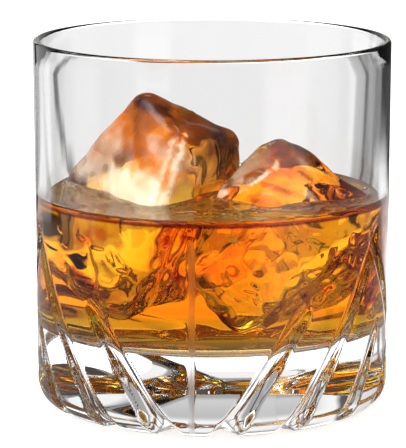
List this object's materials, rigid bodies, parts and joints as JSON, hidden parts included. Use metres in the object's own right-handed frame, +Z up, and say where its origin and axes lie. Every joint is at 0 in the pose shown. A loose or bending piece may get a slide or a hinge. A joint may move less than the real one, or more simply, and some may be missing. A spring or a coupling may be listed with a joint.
{
  "type": "whisky on the rocks",
  "caption": "Heavy pressed tumbler with fans of leaning cuts, a little over half full of whisky, with large clear pieces of ice standing out of it.",
  "frame": {"origin": "middle of the foot, in the plane that the glass stands on", "axes": "+Z up along the axis of the glass; the front of the glass, as the picture shows it, faces -Y, and +X is to the right"},
  "size_m": [0.086, 0.086, 0.0886],
  "materials": {
    "glass": "clear fire-polished soda-lime glass",
    "whisky": "clear amber liquid",
    "ice": "clear wet ice with cloudy patches"
  },
  "bodies": {
    "root": {"tumbler": "glass", "whisky": "whisky", "ice_left": "ice", "ice_right": "ice"}
  },
  "joints": []
}
